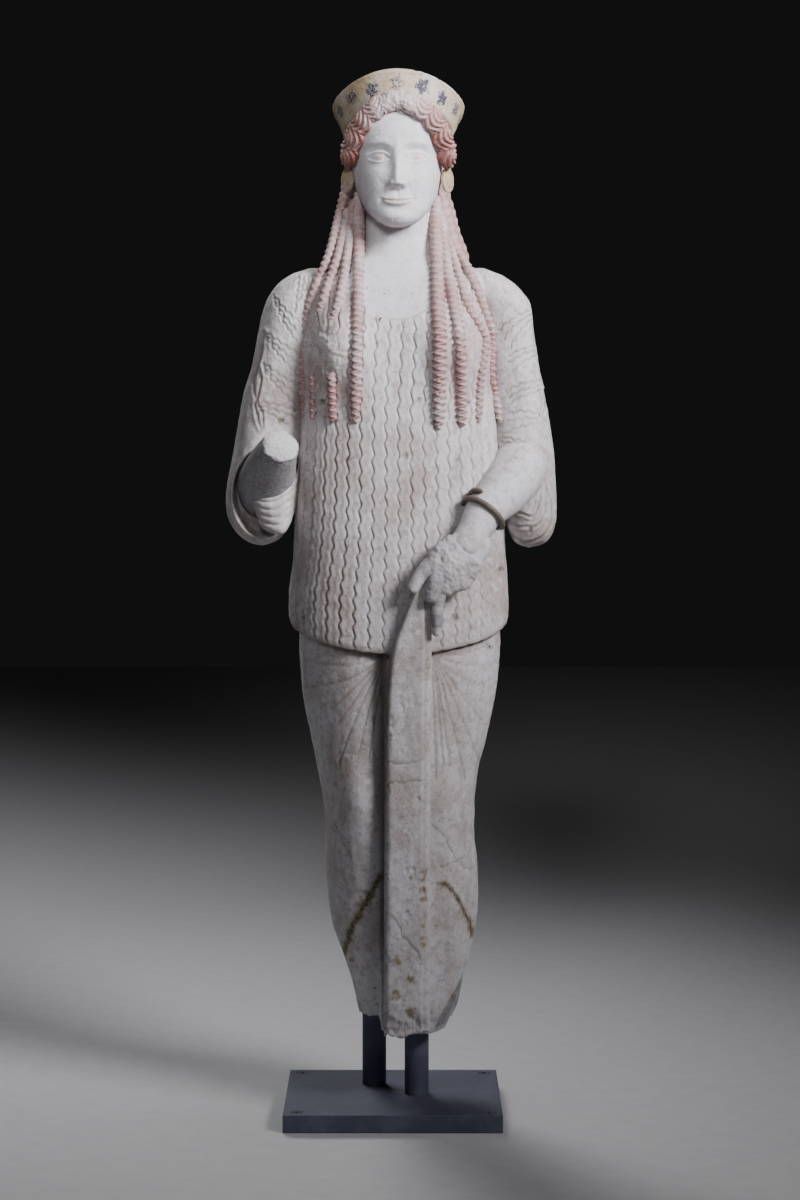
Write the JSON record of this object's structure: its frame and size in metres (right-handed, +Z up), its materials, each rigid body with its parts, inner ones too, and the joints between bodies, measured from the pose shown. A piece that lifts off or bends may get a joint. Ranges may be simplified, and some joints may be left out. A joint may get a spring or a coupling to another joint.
{
  "type": "kore statue",
  "caption": "Archaic marble maiden in pleated dress, with diadem and long crimped locks, broken at the ankles and held on steel rods over a screwed foot plate",
  "frame": {"origin": "middle of the foot plate's underside, which is where the object stands", "axes": "+Z up, along the figure's height; the figure faces -Y; +X is towards the figure's own left arm"},
  "size_m": [0.3906, 0.2459, 1.2213],
  "materials": {
    "marble": "weathered, with worn paint",
    "blackened_steel": "blackened satin",
    "screw_steel": "dark satin"
  },
  "bodies": {
    "root": {"marble_figure": "marble", "support_rod_right": "blackened_steel", "support_rod_left": "blackened_steel", "foot_plate": "blackened_steel", "plate_screw_1": "screw_steel", "plate_screw_2": "screw_steel", "plate_screw_3": "screw_steel", "plate_screw_4": "screw_steel"}
  },
  "joints": []
}
